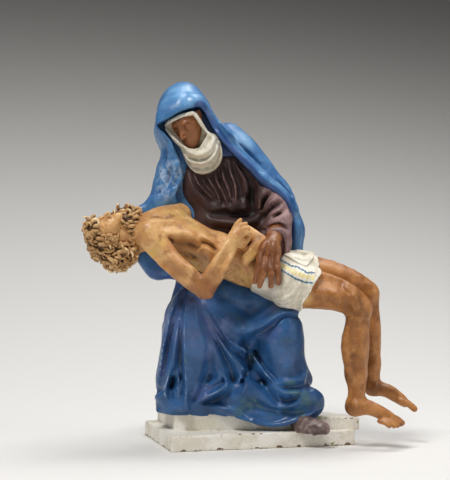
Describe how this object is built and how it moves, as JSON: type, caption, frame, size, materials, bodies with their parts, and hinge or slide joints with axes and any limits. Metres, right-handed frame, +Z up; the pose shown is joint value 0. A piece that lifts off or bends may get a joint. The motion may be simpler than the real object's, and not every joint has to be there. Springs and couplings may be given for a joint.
{
  "type": "pieta statue",
  "caption": "Painted terracotta group of a seated, hooded woman with a dead man across her lap, on a low stepped plinth, to stand on a shelf or altar.",
  "frame": {"origin": "centre of the plinth's long and short sides, on its underside", "axes": "+Z up, -Y towards the front of the plinth, +X towards the man's feet"},
  "size_m": [0.3733, 0.1988, 0.4306],
  "materials": {
    "mantle_blue": "glossy blue paint on fired clay, worn at the ridges",
    "robe_blue": "glossy deep blue paint on fired clay, worn at the ridges",
    "gown_plum": "satin plum-brown paint with pale scratches",
    "linen_white": "satin off-white paint with blue and yellow stripes on the loincloth",
    "woman_flesh": "satin brown flesh paint",
    "man_flesh": "satin pale ochre flesh paint, darker on the legs",
    "hair_tan": "satin tan paint with dark recesses",
    "shoe_mauve": "satin mottled mauve-brown paint",
    "plinth_cream": "satin cream paint, chipped to bare clay and stained green"
  },
  "bodies": {
    "root": {"pieta_group": "mantle_blue"}
  },
  "joints": []
}
